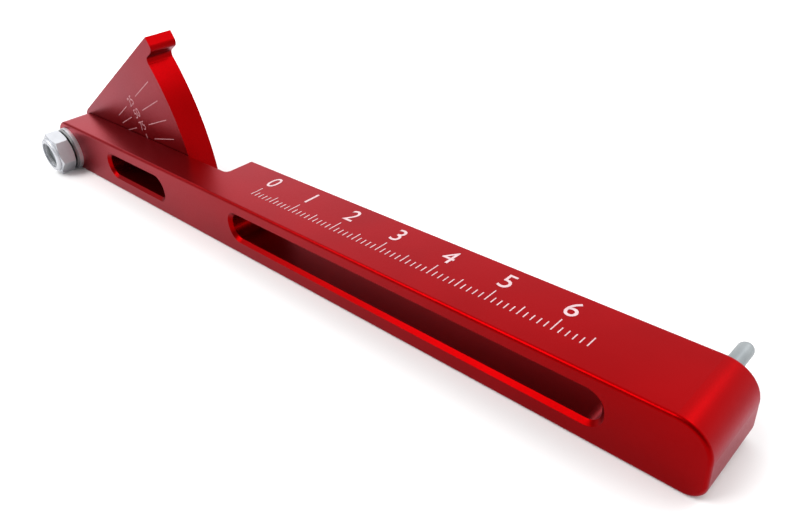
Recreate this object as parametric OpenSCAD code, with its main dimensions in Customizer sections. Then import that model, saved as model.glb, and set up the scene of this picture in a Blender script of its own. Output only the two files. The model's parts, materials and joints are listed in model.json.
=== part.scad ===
// Chain wear gauge: a slotted bar with a fixed pin at one end and, at the other,
// a graduated thumb sector that turns an eccentric measuring pin.
// Millimetres. The origin is the centre of the bar's underside, +X points to the
// fixed pin, +Y to the side the two pins stand out of, +Z up.

/* [Gauge] */
// Half pitch of the roller chain that the gauge spans
half_pitch = 12.7; // [12.5:0.1:12.9]
// Number of half pitches between the two pins at reading zero
span_steps = 11; // [9:1:13]
// Distance of the pivot and of the fixed pin from their ends of the bar
end_margin = 5; // [4.6:0.1:7]

/* [Bar] */
// Height of the bar
bar_h = 10.4; // [9.8:0.2:14]
// Width of the bar from its front face to its back face
bar_w = 12.5; // [11:0.5:16]
// Radius of the bar's upper end corners
end_r = 4.5; // [3:0.25:4.75]
// Radius of the bar's lower end corners
low_end_r = 2.5; // [1.5:0.25:2.75]
// Radius of the long edges
edge_r = 0.5; // [0.3:0.1:1.2]
// Thickness of the strip left in front of the sector
strip_t = 6.5; // [5:0.25:8]
// Length of the rebate that holds the sector
rebate_l = 57.4; // [54:0.2:64]
// Radius in the inner corner of the rebate
rebate_r = 1; // [0.5:0.25:2]

/* [Slots] */
// Length of the short slot
short_slot_l = 21; // [14:1:24]
// Height of the short slot
short_slot_h = 4.4; // [4.4:0.2:5.2]
// Distance of the short slot from the pivot
short_slot_from_pivot = 17.8; // [15:0.2:20]
// Length of the long slot
long_slot_l = 71.4; // [40:0.2:73]
// Height of the long slot
long_slot_h = 4.6; // [4.4:0.1:5.2]
// Distance of the long slot from the fixed pin
long_slot_from_pin = 7.8; // [5:0.4:12]
// Height of the floor of both slots above the bar's underside
slot_floor = 3.2; // [2.4:0.1:3.4]
// Radius of the slots' corners
slot_r = 2; // [1:0.1:2.1]
// Bevel round the slots' mouths
slot_bevel = 0.6; // [0.2:0.1:0.8]

/* [Sector] */
// Radius of the sector's arc about the pivot
arc_r = 40; // [36:0.1:42]
// Slope of the sector's straight edge as the gauge stands
edge_slope = 30.2; // [24:0.5:36]
// Distance of the straight edge from the pivot
edge_rise = 6.5; // [6:0.1:7]
// Thickness of the sector
sector_t = 5.3; // [4:0.1:5.6]
// Gap between the sector and the strip
sector_gap = 0.1; // [0.05:0.05:0.3]
// Height of the sector's lower edge above the bar's underside
sector_lift = 0.2; // [0.1:0.1:0.6]
// Thickness of the thumb lip
lip_t = 2.7; // [2:0.1:3.5]
// Reach of the thumb lip from the pivot
lip_reach = 43.7; // [43:0.1:46]
// Radius of the lip's nose
lip_nose_r = 1.1; // [0.6:0.1:1.3]
// Radius of the hollow between the lip and the arc
lip_root_r = 1; // [0.5:0.1:1.5]

/* [Pins and pivot] */
// Height of the pivot above the bar's underside
pivot_h = 4.7; // [4.7:0.1:5.2]
// Diameter of the two measuring ends
pin_d = 2.2; // [1.8:0.1:2.4]
// Reach of both pins past the bar's back face
pin_reach = 9.3; // [6:0.1:12]
// Depth of the fixed pin's hole
pin_hole_depth = 9; // [5:0.5:10]
// Diameter of the fixed pin's shank in the bar
pin_shank_d = 3; // [2.6:0.1:4]
// Rise of one graduation at the eccentric pin
step_rise = 0.35; // [0.3:0.01:0.37]
// Turn of the sector for one graduation, in degrees
step_turn = 6.1; // [5.9:0.1:7]
// Diameter of the pivot stud's shank and thread
stud_d = 5; // [4:0.25:5.2]
// Radial clearance of the shank in the bar
stud_clear = 0.05; // [0.03:0.01:0.08]
// Diameter of the stud's seat in the sector
seat_d = 6; // [5.6:0.1:6.6]
// Thickness of the stud's head behind the sector
head_t = 1.5; // [1:0.1:2.5]

/* [Washers and nut] */
// Outer diameter of the washers
washer_d = 9.2; // [8.6:0.1:9.4]
// Clearance of the washers round the stud, on the diameter
washer_clear = 0.3; // [0.2:0.05:0.5]
// Thickness of the flat washer
flat_washer_t = 0.8; // [0.5:0.1:1.2]
// Thickness of the spring washer's sheet
spring_washer_t = 0.45; // [0.3:0.05:0.6]
// Height of the spring washer's cone beyond its thickness
spring_washer_rise = 0.25; // [0.1:0.05:0.4]
// Thickness of the slide washer between strip and sector
slide_washer_t = 0.5; // [0.4:0.05:0.8]
// Width of the nut across its flats
nut_af = 8; // [7.5:0.1:8.5]
// Height of the nut's hexagon
nut_hex_h = 3.1; // [2.5:0.1:4]
// Height of the nut's round collar
nut_collar_h = 0.7; // [0.6:0.1:1.5]
// Thickness of the nut's locking insert
insert_t = 1.2; // [0.8:0.1:1.6]
// Depth of the stud's end inside the nut
stud_recess = 0.9; // [0.5:0.1:1.2]
// Turn of the nut about the pivot, in degrees
nut_turn = 16; // [0:1:60]

/* [Hidden] */
$fn = 64;
// How far a cut runs past the face that it opens
slack = 1;
// Overlap that lets two touching rounds cross instead of graze
seam = 0.01;

// Spans along the bar. The eccentric stands upright in the middle of the scale,
// two graduations past reading zero.
eccentricity = step_rise / sin(step_turn);
mid_scale_turn = 2 * step_turn;
pivot_to_pin = half_pitch * span_steps + eccentricity * sin(mid_scale_turn);
bar_l = pivot_to_pin + 2 * end_margin;
pivot_x = -pivot_to_pin / 2;
pin_x = pivot_to_pin / 2;
pin_z = bar_h / 2;

// Planes across the bar
front_y = -bar_w / 2;
back_y = bar_w / 2;
strip_y = front_y + strip_t;
sector_y = strip_y + sector_gap;
sector_back_y = sector_y + sector_t;

// Root of the sector: one round that touches the straight edge, the lower edge
// and a line as far from the pivot as the end of the bar
root_reach = min(end_margin, pivot_h - sector_lift);
slope_gain = cos(edge_slope) - sin(edge_slope);
root_r = (edge_rise + slope_gain * root_reach) / (1 + slope_gain);
root_off = root_r - root_reach;

// Centre of the hollow below the lip, along the straight edge and square to it
lip_under = edge_rise - lip_t;
hollow_across = lip_under - lip_root_r;
hollow_along = sqrt(pow(arc_r + lip_root_r, 2) - pow(hollow_across, 2));

// Turn of the eccentric from upright as the gauge stands, in degrees
raised_turn = 14;

// Stack of parts in front of the bar
flat_washer_y = front_y - flat_washer_t;
spring_washer_y = flat_washer_y - spring_washer_t - spring_washer_rise;
nut_hex_y = spring_washer_y - nut_hex_h;
nut_end_y = nut_hex_y - nut_collar_h;
stud_end_y = nut_end_y + stud_recess;
nut_corner_d = nut_af / cos(30);
collar_d = nut_af * 0.92;
collar_lip = 0.45;
insert_d = collar_d - 2 * collar_lip;
insert_y = nut_end_y + collar_lip;
rim_inset = 0.2;
head_d = 2 * (eccentricity + pin_d / 2) + 0.1;

module rounded_rect(w, h, r) {
    for (sx = [0, 1], sy = [0, 1])
        translate([r + sx * (w - 2 * r), r + sy * (h - 2 * r)]) circle(r = r);
    translate([r, 0]) square([w - 2 * r, h]);
    translate([0, r]) square([w, h - 2 * r]);
}

// A flat shape drawn in X and Z, given thickness from y0 to y1
module plate(y0, y1) {
    translate([0, y1, 0]) rotate([90, 0, 0]) linear_extrude(height = y1 - y0) children();
}

// A turned shape on an axis along Y; its profile is drawn as radius and y
module turned(x, z) {
    translate([x, 0, z]) rotate([-90, 0, 0]) rotate_extrude() children();
}

module turned_rod(x, z, y0, y1, d) {
    turned(x, z) translate([0, y0]) square([d / 2, y1 - y0]);
}

// Half of a rounded section, from the middle plane out to reach
module half_section(reach) {
    translate([0, front_y + edge_r]) square([reach, bar_w - 2 * edge_r]);
    translate([0, front_y]) square([reach - edge_r, bar_w]);
    for (y = [front_y + edge_r, back_y - edge_r])
        translate([reach - edge_r, y]) circle(r = edge_r);
}

// A quarter turn of a section drawn as reach and y, from +X down to -Z
module corner() {
    rotate([-90, 0, 0]) rotate_extrude(angle = 90) children();
}

// A section drawn as reach and y, run along X with its reach pointing down
module run_low(l) {
    rotate([90, 0, 90]) linear_extrude(height = l) rotate(-90) children();
}

// Half of the bar, from its middle plane down to h, with end corners of radius r
module bar_half(h, r) {
    core_l = bar_l - 2 * r;
    translate([-core_l / 2, 0, 0]) run_low(core_l) half_section(h);
    for (side = [0, 1]) mirror([side, 0, 0]) translate([core_l / 2, 0, r - h]) {
        linear_extrude(height = h - r) half_section(r);
        corner() half_section(r);
    }
}

// The whole bar before its rebate, slots and bores
module bar_blank() {
    translate([0, 0, pin_z]) {
        bar_half(pin_z, low_end_r);
        mirror([0, 0, 1]) bar_half(pin_z, end_r);
    }
}

// The rebate's outline seen from above
module rebate_cut() {
    x0 = -bar_l / 2 - slack;
    x1 = -bar_l / 2 + rebate_l;
    translate([0, 0, -slack]) linear_extrude(height = bar_h + 2 * slack) {
        translate([x0, strip_y]) square([x1 - rebate_r - x0, bar_w]);
        translate([x0, strip_y + rebate_r]) square([x1 - x0, bar_w]);
        translate([x1 - rebate_r, strip_y + rebate_r]) circle(r = rebate_r);
    }
}

// Half of a slot's section, from its middle out to reach, with both mouths flared
module slot_section(reach) {
    flare = reach + slot_bevel + slack;
    polygon([[0, front_y - slack], [flare, front_y - slack], [reach, front_y + slot_bevel],
             [reach, back_y - slot_bevel], [flare, back_y + slack], [0, back_y + slack]]);
}

module slot_cut(x0, l, h) {
    core_l = l - 2 * slot_r;
    side_h = h / 2 - slot_r;
    translate([x0 + l / 2, 0, slot_floor + h / 2]) for (up = [0, 1]) mirror([0, 0, up]) {
        translate([-core_l / 2, 0, 0]) run_low(core_l) slot_section(h / 2);
        for (side = [0, 1]) mirror([side, 0, 0]) translate([core_l / 2, 0, -side_h]) {
            linear_extrude(height = side_h) slot_section(slot_r);
            corner() slot_section(slot_r);
        }
    }
}

module bar() {
    color("crimson") difference() {
        bar_blank();
        rebate_cut();
        slot_cut(pivot_x + short_slot_from_pivot, short_slot_l, short_slot_h);
        slot_cut(pin_x - long_slot_from_pin - long_slot_l, long_slot_l, long_slot_h);
        turned_rod(pivot_x, pivot_h, front_y - slack, strip_y + slack, stud_d + 2 * stud_clear);
        turned_rod(pivot_x, pivot_h, strip_y - slide_washer_t + sector_gap, strip_y + slack,
                   washer_d + washer_clear);
        turned_rod(pin_x, pin_z, back_y - pin_hole_depth, back_y + slack, pin_shank_d);
    }
}

// The thumb lip, drawn along the straight edge, with its root and top still solid
module lip_outline() {
    inner = arc_r - 2 * lip_t;
    nose = lip_reach - lip_nose_r;
    translate([inner, lip_under]) square([nose - inner, lip_t + slack]);
    translate([nose, lip_under + lip_nose_r])
        square([lip_nose_r, lip_t + slack - lip_nose_r]);
    translate([nose, lip_under + lip_nose_r]) circle(r = lip_nose_r);
    translate([inner, hollow_across])
        square([hollow_along - inner, lip_t + lip_root_r]);
}

// The sector about its pivot, X along the bar and Y up
module sector_outline() {
    far = arc_r * 1.2;
    down = [root_off, -root_reach];
    up = [root_off - root_r * sin(edge_slope), root_off + root_r * cos(edge_slope)];
    intersection() {
        difference() {
            union() {
                circle(r = arc_r, $fn = 180);
                rotate(edge_slope) lip_outline();
            }
            rotate(edge_slope) translate([hollow_along, hollow_across])
                circle(r = lip_root_r + seam);
        }
        polygon([[root_off, root_off], down, [far, -root_reach],
                 up + far * [cos(edge_slope), sin(edge_slope)], up]);
    }
    translate([root_off, root_off]) circle(r = root_r + seam);
}

module sector() {
    color("red") difference() {
        plate(sector_y, sector_back_y) translate([pivot_x, pivot_h]) sector_outline();
        turned_rod(pivot_x, pivot_h, sector_y - slack, sector_back_y + slack, seat_d);
    }
}

// A round rod's end with a domed nose, as a profile
module nose_profile(y0, y1, d) {
    translate([0, y0]) square([d / 2, y1 - d / 2 - y0]);
    intersection() {
        translate([0, y1 - d / 2]) circle(d = d);
        translate([0, y1 - d]) square([d, 2 * d]);
    }
}

module pivot_stud() {
    pin_turn = 90 + raised_turn;
    color("silver") union() {
        turned(pivot_x, pivot_h) {
            translate([0, sector_back_y]) square([head_d / 2, head_t]);
            translate([0, sector_y]) square([seat_d / 2, sector_t]);
            translate([0, stud_end_y]) square([stud_d / 2, sector_y - stud_end_y]);
        }
        turned(pivot_x + eccentricity * cos(pin_turn), pivot_h + eccentricity * sin(pin_turn))
            nose_profile(sector_back_y + head_t / 2, back_y + pin_reach, pin_d);
    }
}

module ring(y0, y1, d_in, d_out) {
    turned(pivot_x, pivot_h) translate([d_in / 2, y0]) square([(d_out - d_in) / 2, y1 - y0]);
}

module slide_washer() {
    color("whitesmoke")
        ring(sector_y - slide_washer_t, sector_y, stud_d + washer_clear, washer_d);
}

module flat_washer() {
    color("gainsboro") ring(flat_washer_y, front_y, stud_d + washer_clear, washer_d);
}

// A shallow cone that presses on the flat washer with its rim and on the nut
// with its hole
module spring_washer() {
    r_in = (stud_d + washer_clear) / 2;
    r_out = washer_d / 2 - rim_inset;
    color("silver") turned(pivot_x, pivot_h)
        polygon([[r_in, spring_washer_y], [r_out, flat_washer_y - spring_washer_t],
                 [r_out, flat_washer_y], [r_in, spring_washer_y + spring_washer_t]]);
}

// The hexagon with the cones that take its corners off at both ends
module nut_hexagon() {
    bevel = (nut_corner_d - nut_af) / 2;
    intersection() {
        translate([pivot_x, spring_washer_y, pivot_h]) rotate([90, nut_turn, 0])
            linear_extrude(height = nut_hex_h) circle(d = nut_corner_d, $fn = 6);
        turned(pivot_x, pivot_h)
            polygon([[0, nut_hex_y], [nut_af / 2, nut_hex_y],
                     [nut_corner_d / 2 + bevel, nut_hex_y + bevel],
                     [nut_corner_d / 2 + bevel, spring_washer_y - bevel],
                     [nut_af / 2, spring_washer_y], [0, spring_washer_y]]);
    }
}

module lock_nut() {
    color("gainsboro") difference() {
        union() {
            nut_hexagon();
            turned(pivot_x, pivot_h) {
                translate([0, insert_y]) square([collar_d / 2, nut_hex_y + slack - insert_y]);
                translate([0, nut_end_y]) square([collar_d / 2 - collar_lip, nut_collar_h]);
                translate([collar_d / 2 - collar_lip, insert_y]) circle(r = collar_lip);
            }
        }
        turned(pivot_x, pivot_h) {
            translate([0, insert_y]) square([insert_d / 2, insert_t]);
            translate([0, nut_end_y - slack])
                square([insert_d / 2 - collar_lip, collar_lip + insert_t / 2 + slack]);
            translate([0, insert_y])
                square([stud_d / 2, spring_washer_y + slack - insert_y]);
        }
    }
}

module nut_insert() {
    color("lightgray") ring(insert_y, insert_y + insert_t, stud_d, insert_d);
}

module fixed_pin() {
    color("silver") turned(pin_x, pin_z) {
        translate([0, back_y - pin_hole_depth]) square([pin_shank_d / 2, pin_hole_depth]);
        nose_profile(back_y - pin_shank_d, back_y + pin_reach, pin_d);
    }
}

bar();
sector();
pivot_stud();
slide_washer();
flat_washer();
spring_washer();
lock_nut();
nut_insert();
fixed_pin();
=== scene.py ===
import json
import math

import bmesh
import bpy
from mathutils import Matrix, Vector


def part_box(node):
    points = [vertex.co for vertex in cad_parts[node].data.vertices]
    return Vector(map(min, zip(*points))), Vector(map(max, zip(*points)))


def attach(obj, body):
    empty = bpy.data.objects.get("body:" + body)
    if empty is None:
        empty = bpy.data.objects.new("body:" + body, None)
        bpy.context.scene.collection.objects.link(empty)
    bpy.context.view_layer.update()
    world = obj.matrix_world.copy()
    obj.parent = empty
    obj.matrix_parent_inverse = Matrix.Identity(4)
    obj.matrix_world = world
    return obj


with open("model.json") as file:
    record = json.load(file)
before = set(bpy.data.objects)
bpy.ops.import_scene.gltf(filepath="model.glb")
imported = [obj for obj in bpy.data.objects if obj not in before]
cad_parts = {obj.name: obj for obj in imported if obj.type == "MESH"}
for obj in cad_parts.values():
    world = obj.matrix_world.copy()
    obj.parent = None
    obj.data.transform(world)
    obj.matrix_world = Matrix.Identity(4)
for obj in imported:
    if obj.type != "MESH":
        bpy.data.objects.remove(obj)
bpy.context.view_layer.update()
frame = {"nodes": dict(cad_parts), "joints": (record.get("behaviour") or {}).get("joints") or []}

MM = 0.001

# Camera, from the vanishing points of the photograph (800 x 522 pixels)
CAMERA_AT = (90.5, -61.67, 65.67)
CAMERA_RIGHT = (0.72204, 0.68767, -0.07590)
CAMERA_UP = (-0.32668, 0.43558, 0.83878)
LENS_MM = 32.764
SENSOR_MM = 36.0

# Soft square lights: name, place, aim, side and power, in metres and watts
LIGHTS = (
    ("back", (0.133, 0.132, 0.237), (-0.038, 0.003, 0.027), 0.12, 0.155),
    ("top", (-0.25, -0.32, 0.50), (-0.05, -0.05, 0.0), 0.45, 3.4),
)
# Brightness of the sky towards -Y and +Y, and how far to each side of X it blends;
# it is at least RIM_BRIGHT low down, and that fades between two heights
SKY_FRONT = 0.4
SKY_BACK = 1.7
SKY_BLEND = 0.3
RIM_BRIGHT = 1.1
RIM_FADE = (0.05, 0.2)
FLOOR_REACH = 20.0

# Faces that carry marks
BAR_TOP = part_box("bar")[1][2]
SECTOR_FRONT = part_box("sector")[0][1]
PIVOT = Vector(frame["joints"][0]["pos_m"])

# Scale on the sector: readings and the slope of the first line, from the top down
READINGS = ("25", "50", "75", "1")
FIRST_SLOPE = 31.1
SLOPE_STEP = 6.1
INNER_LINE = (16.0, 21.8)
OUTER_LINE = (28.0, 36.3)
READING_AT = 24.9
READING_HIGH = 1.9
MARK_WIDE = 0.16
MARK_PROUD = 0.02

# Plain millimetre rule on the bar's top face: ticks by how many millimetres they mark
RULE_START = -7.0
RULE_LENGTH = 65
RULE_EDGE = -2.2
RULE_TICKS = {10: 2.5, 5: 1.9, 1: 1.2}
NUMBER_HIGH = 3.2
NUMBER_GAP = 0.8

# Size of a text over the height of its figures
SIZE_PER_HEIGHT = 1.4


def material(name):
    """A new node material; returns it with its tree and its Principled shader."""
    made = bpy.data.materials.new(name)
    made.use_nodes = True
    tree = made.node_tree
    return made, tree, tree.nodes["Principled BSDF"]


def add_node(tree, kind, **values):
    """A shader node with its inputs set by name."""
    node = tree.nodes.new(kind)
    for key, value in values.items():
        node.inputs[key.replace("_", " ")].default_value = value
    return node


def noise(tree, scale, detail=2.0, rough=0.5):
    """Noise over the object's own coordinates; scale counts cells in a metre."""
    where = tree.nodes.new("ShaderNodeTexCoord")
    made = add_node(tree, "ShaderNodeTexNoise", Scale=scale, Detail=detail, Roughness=rough)
    tree.links.new(where.outputs["Object"], made.inputs["Vector"])
    return made.outputs["Fac"]


def remap(tree, fac, low, high):
    """fac from 0 to 1, spread over low to high."""
    made = add_node(tree, "ShaderNodeMapRange", To_Min=low, To_Max=high)
    tree.links.new(fac, made.inputs["Value"])
    return made.outputs["Result"]


def two_tones(tree, fac, dark, light):
    """A colour between dark and light."""
    ramp = tree.nodes.new("ShaderNodeValToRGB")
    ramp.color_ramp.elements[0].position = 0.3
    ramp.color_ramp.elements[0].color = (*dark, 1)
    ramp.color_ramp.elements[1].position = 0.7
    ramp.color_ramp.elements[1].color = (*light, 1)
    tree.links.new(fac, ramp.inputs["Fac"])
    return ramp.outputs["Color"]


def bump(tree, shader, height, depth, strength):
    """Relief of that depth, in metres."""
    made = add_node(tree, "ShaderNodeBump", Strength=strength, Distance=depth)
    tree.links.new(height, made.inputs["Height"])
    tree.links.new(made.outputs["Normal"], shader.inputs["Normal"])


def anodised(name, dark, light, edge):
    """Bead-blasted aluminium under a clear red oxide film; edge tints its grazing reflection."""
    made, tree, shader = material(name)
    shader.inputs["Metallic"].default_value = 1.0
    shader.inputs["Specular Tint"].default_value = (*edge, 1)
    tree.links.new(two_tones(tree, noise(tree, 90), dark, light), shader.inputs["Base Color"])
    tree.links.new(remap(tree, noise(tree, 2600, 3.0), 0.30, 0.40), shader.inputs["Roughness"])
    bump(tree, shader, noise(tree, 5200, 2.0, 0.6), 0.00001, 0.5)
    return made


def metal(name, dark, light, rough, grain):
    """Plated or turned steel with a fine grain."""
    made, tree, shader = material(name)
    shader.inputs["Metallic"].default_value = 1.0
    tree.links.new(two_tones(tree, noise(tree, grain / 6), dark, light),
                   shader.inputs["Base Color"])
    tree.links.new(remap(tree, noise(tree, grain), rough - 0.07, rough + 0.09),
                   shader.inputs["Roughness"])
    bump(tree, shader, noise(tree, grain * 2), 0.00001, 0.35)
    return made


def dull(name, dark, light, rough):
    """Nylon or an etched mark."""
    made, tree, shader = material(name)
    tree.links.new(two_tones(tree, noise(tree, 1500), dark, light), shader.inputs["Base Color"])
    tree.links.new(remap(tree, noise(tree, 3000), rough - 0.05, rough + 0.05),
                   shader.inputs["Roughness"])
    bump(tree, shader, noise(tree, 6000), 0.00001, 0.3)
    return made


RED = anodised("red_anodised", (0.235, 0.0004, 0.0008), (0.265, 0.0006, 0.0012),
               (1.0, 0.80, 0.86))
RED_SECTOR = anodised("red_anodised_sector", (0.195, 0.0005, 0.001), (0.225, 0.0007, 0.0014),
                      (1.0, 0.92, 1.0))
ZINC = metal("bright_zinc", (0.51, 0.52, 0.55), (0.59, 0.60, 0.63), 0.48, 1800)
TURNED = metal("turned_steel", (0.22, 0.24, 0.25), (0.27, 0.29, 0.30), 0.38, 2400)
# Spring washer: dark steel, kept dark partly as painted shade for the gap between the nut and the
# bar
SPRING_STEEL_AND_SHADE = metal("spring_steel", (0.20, 0.20, 0.21), (0.26, 0.26, 0.26), 0.34, 2000)
NYLON = dull("white_nylon", (0.74, 0.74, 0.70), (0.82, 0.82, 0.78), 0.45)
INSERT = dull("grey_nylon", (0.30, 0.31, 0.32), (0.38, 0.39, 0.40), 0.5)
ETCHED = dull("etched_mark", (0.50, 0.34, 0.36), (0.62, 0.46, 0.48), 0.6)
FAINT = dull("faint_mark", (0.36, 0.14, 0.16), (0.48, 0.23, 0.25), 0.6)

LOOKS = {
    "bar": RED, "sector": RED_SECTOR, "pivot_stud": TURNED, "fixed_pin": TURNED,
    "slide_washer": NYLON, "flat_washer": ZINC, "spring_washer": SPRING_STEEL_AND_SHADE,
    "lock_nut": ZINC, "nut_insert": INSERT,
}


def dress_nodes():
    """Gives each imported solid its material."""
    for name, look in LOOKS.items():
        for one in frame["nodes"][name].material_slots:
            one.material = look


def piece(name, mesh, look, body):
    """A new object that rides on a body and shares a slot's finish."""
    made = bpy.data.objects.new(name, mesh)
    bpy.context.scene.collection.objects.link(made)
    made.data.materials.append(look)
    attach(made, body)


def strip_marks(bm, place, x0, x1, y0, y1):
    """A flat box from x0, y0 to x1, y1 of the marked face, standing proud of it."""
    box = bmesh.ops.create_cube(bm, size=1.0)["verts"]
    for v in box:
        v.co = place @ Vector((x0 + (v.co.x + 0.5) * (x1 - x0),
                               y0 + (v.co.y + 0.5) * (y1 - y0),
                               (v.co.z + 0.5) * MARK_PROUD))


def text_mesh(bm, place, words, high):
    """Plain figures, centred on the place's origin, as a thin mesh."""
    curve = bpy.data.curves.new("figures", "FONT")
    curve.body = words
    curve.align_x = "CENTER"
    curve.align_y = "CENTER"
    curve.size = high * SIZE_PER_HEIGHT
    curve.extrude = MARK_PROUD / 2
    curve.resolution_u = 4
    holder = bpy.data.objects.new("figures", curve)
    mesh = bpy.data.meshes.new_from_object(holder)
    mesh.transform(place @ Matrix.Translation((0, 0, MARK_PROUD / 2)))
    bm.from_mesh(mesh)
    bpy.data.objects.remove(holder)
    bpy.data.curves.remove(curve)
    bpy.data.meshes.remove(mesh)


def sector_scale():
    """Radial lines and readings on the sector's front face."""
    bm = bmesh.new()
    face = Matrix.Translation((PIVOT.x, SECTOR_FRONT, PIVOT.z)) @ Matrix.Rotation(
        math.radians(90), 4, "X") @ Matrix.Scale(MM, 4)
    for n, words in enumerate(READINGS):
        line = face @ Matrix.Rotation(math.radians(FIRST_SLOPE - n * SLOPE_STEP), 4, "Z")
        for start, end in (INNER_LINE, OUTER_LINE):
            strip_marks(bm, line, start, end, -MARK_WIDE / 2, MARK_WIDE / 2)
        text_mesh(bm, line @ Matrix.Translation((READING_AT, 0, 0)), words, READING_HIGH)
    mesh = bpy.data.meshes.new("sector_scale")
    bm.to_mesh(mesh)
    bm.free()
    piece("sector_scale", mesh, FAINT, "dial")


def top_rule():
    """A plain millimetre rule with figures on the bar's top face."""
    bm = bmesh.new()
    face = Matrix.Translation((0, 0, BAR_TOP)) @ Matrix.Scale(MM, 4)
    for n in range(RULE_LENGTH + 1):
        x = RULE_START + n
        deep = next(size for step, size in RULE_TICKS.items() if n % step == 0)
        strip_marks(bm, face, x - MARK_WIDE / 2, x + MARK_WIDE / 2, RULE_EDGE, RULE_EDGE + deep)
        if n % 10 == 0:
            middle = RULE_EDGE + deep + NUMBER_GAP + NUMBER_HIGH / 2
            text_mesh(bm, face @ Matrix.Translation((x, middle, 0)), str(n // 10), NUMBER_HIGH)
    mesh = bpy.data.meshes.new("top_rule")
    bm.to_mesh(mesh)
    bm.free()
    piece("top_rule", mesh, ETCHED, "body")


def camera():
    """The photograph's view."""
    lens = bpy.data.cameras.new("camera")
    lens.lens = LENS_MM
    lens.sensor_width = SENSOR_MM
    lens.sensor_fit = "HORIZONTAL"
    lens.clip_start = 0.005
    made = bpy.data.objects.new("camera", lens)
    right = Vector(CAMERA_RIGHT)
    up = Vector(CAMERA_UP)
    turn = Matrix((right, up, right.cross(up))).transposed().to_4x4()
    made.matrix_world = Matrix.Translation(Vector(CAMERA_AT) * MM) @ turn
    bpy.context.scene.collection.objects.link(made)
    bpy.context.scene.camera = made


def area_light(name, at, aim, size, power):
    """A soft square light that shines from one place towards another."""
    data = bpy.data.lights.new(name, "AREA")
    data.shape = "SQUARE"
    data.size = size
    data.energy = power
    made = bpy.data.objects.new(name, data)
    way = Vector(aim) - Vector(at)
    made.matrix_world = Matrix.Translation(at) @ way.to_track_quat("-Z", "Y").to_matrix().to_4x4()
    bpy.context.scene.collection.objects.link(made)


def pale_floor():
    """A flat matt floor that the gauge lies on."""
    mesh = bpy.data.meshes.new("floor")
    bm = bmesh.new()
    bmesh.ops.create_grid(bm, x_segments=1, y_segments=1, size=FLOOR_REACH)
    bm.to_mesh(mesh)
    bm.free()
    floor = bpy.data.objects.new("floor", mesh)
    bpy.context.scene.collection.objects.link(floor)
    look, tree, shader = material("floor")
    shader.inputs["Roughness"].default_value = 0.8
    shader.inputs["Specular IOR Level"].default_value = 0.2
    tree.links.new(two_tones(tree, noise(tree, 3), (0.87, 0.87, 0.87), (0.89, 0.89, 0.89)),
                   shader.inputs["Base Color"])
    floor.data.materials.append(look)


def sky():
    """A white sky that is brighter behind the gauge."""
    world = bpy.data.worlds.new("sky")
    world.use_nodes = True
    tree = world.node_tree
    where = tree.nodes.new("ShaderNodeTexCoord")
    split = tree.nodes.new("ShaderNodeSeparateXYZ")
    tree.links.new(where.outputs["Generated"], split.inputs["Vector"])
    grade = add_node(tree, "ShaderNodeMapRange", From_Min=-SKY_BLEND, From_Max=SKY_BLEND,
                     To_Min=SKY_FRONT, To_Max=SKY_BACK)
    tree.links.new(split.outputs["Y"], grade.inputs["Value"])
    rim = add_node(tree, "ShaderNodeMapRange", From_Min=RIM_FADE[0], From_Max=RIM_FADE[1],
                   To_Min=RIM_BRIGHT, To_Max=0.0)
    tree.links.new(split.outputs["Z"], rim.inputs["Value"])
    most = tree.nodes.new("ShaderNodeMath")
    most.operation = "MAXIMUM"
    tree.links.new(grade.outputs["Result"], most.inputs[0])
    tree.links.new(rim.outputs["Result"], most.inputs[1])
    tree.links.new(most.outputs["Value"], tree.nodes["Background"].inputs["Strength"])
    tree.nodes["Background"].inputs["Color"].default_value = (1.0, 1.0, 1.0, 1)
    bpy.context.scene.world = world


camera()
dress_nodes()
sector_scale()
top_rule()
pale_floor()
sky()
for light in LIGHTS:
    area_light(*light)
bpy.context.scene.view_settings.view_transform = "Standard"
